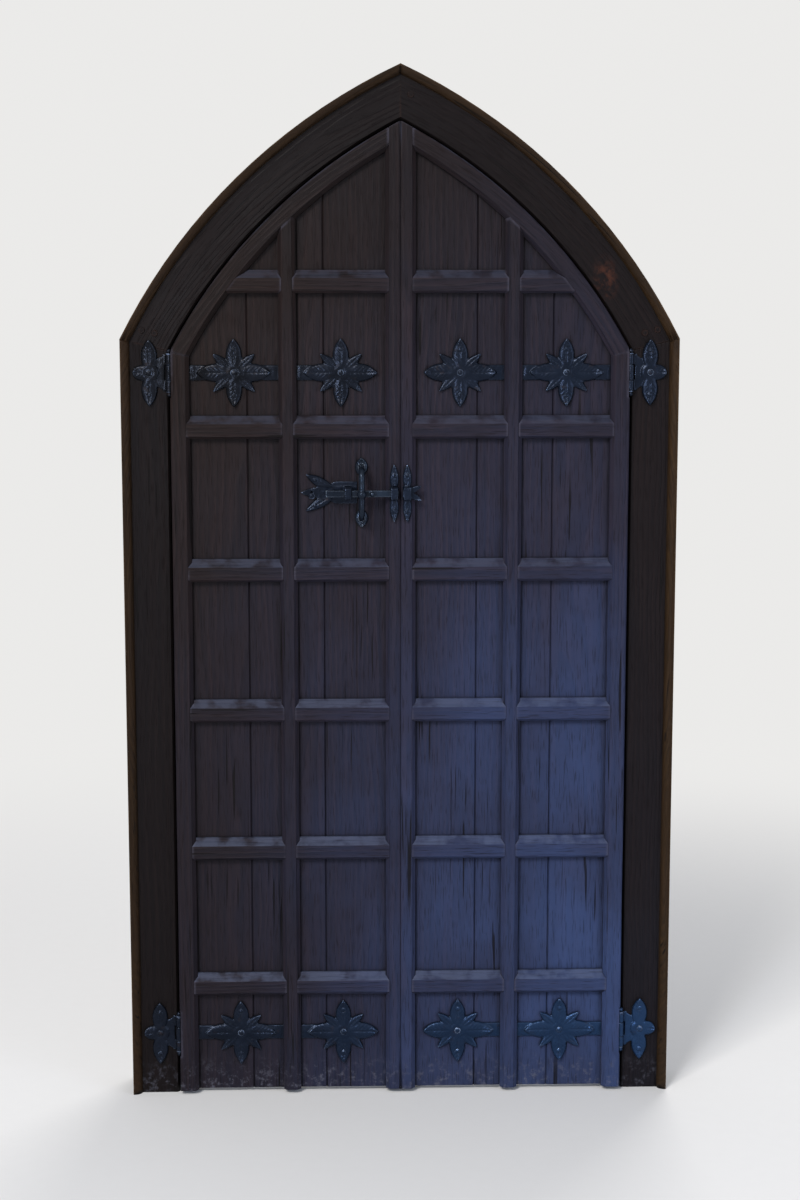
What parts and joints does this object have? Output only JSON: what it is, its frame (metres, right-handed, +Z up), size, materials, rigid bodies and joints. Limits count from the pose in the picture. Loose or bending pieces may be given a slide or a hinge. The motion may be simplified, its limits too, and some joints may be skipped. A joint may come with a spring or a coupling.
{
  "type": "arched double door with frame",
  "caption": "Pointed-arch double door of boarded oak with planted ribs, foliate strap hinges and a sliding latch, hung in its own oak frame.",
  "frame": {"origin": "on the floor, on the centre line between the leaves, in the plane of the boards' back faces", "axes": "+Z up, +X to the right as seen from the ironwork side, +Y through the doorway away from the ironwork"},
  "size_m": [1.109, 0.1575, 2.0907],
  "materials": {
    "frame_oak": "dark stained, worn at the arrises",
    "bead_oak": "dark stained, rubbed brown",
    "peg_oak": "dark stained end grain",
    "leaf_oak": "dark stained, satin, open grain",
    "black_iron": "forged and blacked, blue-grey sheen"
  },
  "bodies": {
    "frame": {"jamb_left": "frame_oak", "jamb_right": "frame_oak", "head_left": "frame_oak", "head_right": "frame_oak", "bead_left": "bead_oak", "bead_right": "bead_oak", "frame_pegs": "peg_oak", "nails_jamb": "black_iron", "hinge_plate_lower_left": "black_iron", "hinge_plate_lower_right": "black_iron", "hinge_plate_upper_left": "black_iron", "hinge_plate_upper_right": "black_iron", "hinge_pins": "black_iron"},
    "leaf_left": {"board_left_1": "leaf_oak", "board_left_2": "leaf_oak", "board_left_3": "leaf_oak", "rail_left_1": "leaf_oak", "rail_left_2": "leaf_oak", "rail_left_3": "leaf_oak", "rail_left_4": "leaf_oak", "rail_left_5": "leaf_oak", "rail_left_6": "leaf_oak", "stile_meeting_left": "leaf_oak", "stile_outer_left": "leaf_oak", "muntin_left": "leaf_oak", "rim_left": "leaf_oak", "ledges_left": "leaf_oak", "nails_left": "black_iron", "strap_lower_left": "black_iron", "strap_upper_left": "black_iron", "latch_plate": "black_iron", "latch_staple": "black_iron", "pull_face": "black_iron", "pull_back": "black_iron"},
    "leaf_right": {"board_right_1": "leaf_oak", "board_right_2": "leaf_oak", "board_right_3": "leaf_oak", "rail_right_1": "leaf_oak", "rail_right_2": "leaf_oak", "rail_right_3": "leaf_oak", "rail_right_4": "leaf_oak", "rail_right_5": "leaf_oak", "rail_right_6": "leaf_oak", "stile_meeting_right": "leaf_oak", "stile_outer_right": "leaf_oak", "muntin_right": "leaf_oak", "rim_right": "leaf_oak", "ledges_right": "leaf_oak", "nails_right": "black_iron", "strap_lower_right": "black_iron", "strap_upper_right": "black_iron", "keeper": "black_iron", "bolt_barrels": "black_iron"},
    "latch_bar": {"latch_bar": "black_iron"},
    "bolt_top": {"bolt_top": "black_iron"},
    "bolt_bottom": {"bolt_bottom": "black_iron"}
  },
  "joints": [
    {"name": "leaf_left_hinge", "type": "hinge", "parent": "frame", "child": "leaf_left", "pos_m": [-0.458, -0.039, 0.811], "axis": [0, 0, -1], "range_deg": [0, 95]},
    {"name": "leaf_right_hinge", "type": "hinge", "parent": "frame", "child": "leaf_right", "pos_m": [0.458, -0.039, 0.811], "axis": [0, 0, 1], "range_deg": [0, 95]},
    {"name": "latch_slide", "type": "slide", "parent": "leaf_left", "child": "latch_bar", "axis": [1, 0, 0], "range_m": [0, 0.03]},
    {"name": "top_bolt_slide", "type": "slide", "parent": "leaf_right", "child": "bolt_top", "axis": [0, 0, 1], "range_m": [0, 0.022]},
    {"name": "bottom_bolt_slide", "type": "slide", "parent": "leaf_right", "child": "bolt_bottom", "axis": [0, 0, -1], "range_m": [0, 0.022]}
  ]
}
